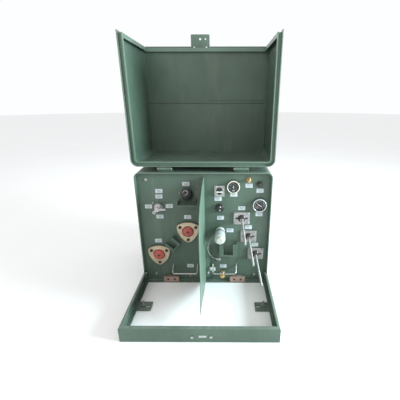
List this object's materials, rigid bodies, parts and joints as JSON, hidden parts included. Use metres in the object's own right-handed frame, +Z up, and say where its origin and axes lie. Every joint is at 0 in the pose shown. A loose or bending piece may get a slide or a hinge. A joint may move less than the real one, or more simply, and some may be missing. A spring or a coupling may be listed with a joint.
{
  "type": "pad-mounted transformer",
  "caption": "Single phase pad-mounted transformer: steel tank with live terminals and gauges on its front, a bolted sill frame, and a clamshell hood hinged open above the tank.",
  "frame": {"origin": "underside of the base plate, on the centre line, below the front face of the terminal plate", "axes": "+Z up, front faces -Y, +X to the right as seen from the front"},
  "size_m": [0.896, 1.003, 1.549],
  "materials": {
    "casing_paint": "satin green enamel",
    "plain_steel": "dull plated",
    "tin_aluminium": "tin plated",
    "white_metal": "cast, pale",
    "clamp_zinc": "yellow zinc",
    "copper": "tinned copper",
    "brass": "cast",
    "black_rubber": "matt",
    "black_plastic": "moulded",
    "red_rubber": "moulded",
    "epoxy": "cast resin",
    "porcelain": "glazed",
    "label_plate": "blank",
    "lens": "clear",
    "core_iron": "laminated"
  },
  "bodies": {
    "tank": {"tank_shell": "casing_paint", "base_plate": "casing_paint", "faceplate": "casing_paint", "front_rim": "casing_paint", "handhole_cover": "casing_paint", "lifting_lugs": "casing_paint", "sill_frame": "casing_paint", "hold_down_cleats": "casing_paint", "barrier": "casing_paint", "hinge_tank_leaves": "casing_paint", "hv_parking_stand": "casing_paint", "lv_parking_bracket": "casing_paint", "drip_tray": "casing_paint", "cover_bolts": "plain_steel", "hinge_pins": "plain_steel", "face_fasteners": "plain_steel", "switch_gland": "plain_steel", "voltage_switch_plate": "plain_steel", "ground_rods": "plain_steel", "core_clamps": "plain_steel", "lv_bushing_flanges": "tin_aluminium", "lv_studs": "tin_aluminium", "ground_clamp": "white_metal", "well_clamps": "clamp_zinc", "ground_strap": "copper", "ground_pads": "copper", "internal_leads": "copper", "lv_coil": "copper", "relief_valve_body": "brass", "drain_valve_body": "brass", "handhole_gasket": "black_rubber", "hood_bumpers": "black_rubber", "level_gauge_case": "black_plastic", "temp_gauge_case": "black_plastic", "fuse_housing": "black_plastic", "bushing_wells": "epoxy", "lv_insulators": "epoxy", "internal_switchgear": "epoxy", "hv_coil": "epoxy", "neutral_bushing": "porcelain", "labels": "label_plate", "gauge_lenses": "lens", "core": "core_iron"},
    "dust_cap_left": {"dust_cap_left": "red_rubber"},
    "dust_cap_right": {"dust_cap_right": "red_rubber"},
    "fuse_holder": {"fuse_holder": "black_plastic"},
    "switch_handle": {"switch_handle": "plain_steel"},
    "level_pointer": {"level_pointer": "white_metal"},
    "float_arm": {"float_arm": "brass"},
    "temp_pointer": {"temp_pointer": "white_metal"},
    "relief_ring": {"relief_ring": "plain_steel"},
    "drain_valve_cap": {"drain_valve_cap": "brass"},
    "fill_plug": {"fill_plug": "black_plastic"},
    "voltage_knob": {"voltage_knob": "black_plastic"},
    "tap_knob": {"tap_knob": "black_plastic"},
    "lock_bolt": {"lock_bolt": "plain_steel"},
    "hood": {"hood_shell": "casing_paint", "hood_edge_channels": "casing_paint", "hasp": "casing_paint", "hood_hinge_leaves": "casing_paint"}
  },
  "joints": [
    {"name": "hood_hinge", "type": "hinge", "parent": "tank", "child": "hood", "pos_m": [0, -0.027, 0.778], "axis": [1, 0, 0], "range_deg": [0, 180]},
    {"name": "lock_bolt_turn", "type": "hinge", "parent": "tank", "child": "lock_bolt", "pos_m": [-0.037, -0.519, 0.034], "axis": [0, 1, 0], "continuous": true},
    {"name": "switch_turn", "type": "hinge", "parent": "tank", "child": "switch_handle", "pos_m": [-0.279, 0, 0.534], "axis": [0, 1, 0], "range_deg": [-90, 180]},
    {"name": "voltage_knob_turn", "type": "hinge", "parent": "tank", "child": "voltage_knob", "pos_m": [0.094, 0, 0.635], "axis": [0, 1, 0], "range_deg": [0, 90]},
    {"name": "tap_knob_turn", "type": "hinge", "parent": "tank", "child": "tap_knob", "pos_m": [0.095, 0, 0.527], "axis": [0, 1, 0], "range_deg": [-60, 60]},
    {"name": "float_swing", "type": "hinge", "parent": "tank", "child": "float_arm", "pos_m": [0.177, 0, 0.665], "axis": [0, 1, 0], "range_deg": [-25, 25]},
    {"name": "level_pointer_turn", "type": "hinge", "parent": "tank", "child": "level_pointer", "pos_m": [0.177, 0, 0.665], "axis": [0, 1, 0], "range_deg": [-25, 25]},
    {"name": "temp_pointer_turn", "type": "hinge", "parent": "tank", "child": "temp_pointer", "pos_m": [0.337, 0, 0.549], "axis": [0, 1, 0], "range_deg": [-40, 180]},
    {"name": "fuse_pull", "type": "slide", "parent": "tank", "child": "fuse_holder", "axis": [0, -0.9063, 0.4226], "range_m": [0, 0.18]},
    {"name": "left_cap_pull", "type": "slide", "parent": "tank", "child": "dust_cap_left", "axis": [0, -1, 0], "range_m": [0, 0.06]},
    {"name": "right_cap_pull", "type": "slide", "parent": "tank", "child": "dust_cap_right", "axis": [0, -1, 0], "range_m": [0, 0.06]},
    {"name": "relief_pull", "type": "slide", "parent": "tank", "child": "relief_ring", "axis": [0, -1, 0], "range_m": [0, 0.005], "stiffness_N_per_m": 300},
    {"name": "drain_cap_turn", "type": "hinge", "parent": "tank", "child": "drain_valve_cap", "pos_m": [0.112, 0, 0.062], "axis": [0, 1, 0], "continuous": true},
    {"name": "fill_plug_turn", "type": "hinge", "parent": "tank", "child": "fill_plug", "pos_m": [0.334, 0, 0.679], "axis": [0, 1, 0], "continuous": true}
  ],
  "couplings": [
    {"joint": "level_pointer_turn", "follows": "float_swing", "ratio": 1}
  ]
}
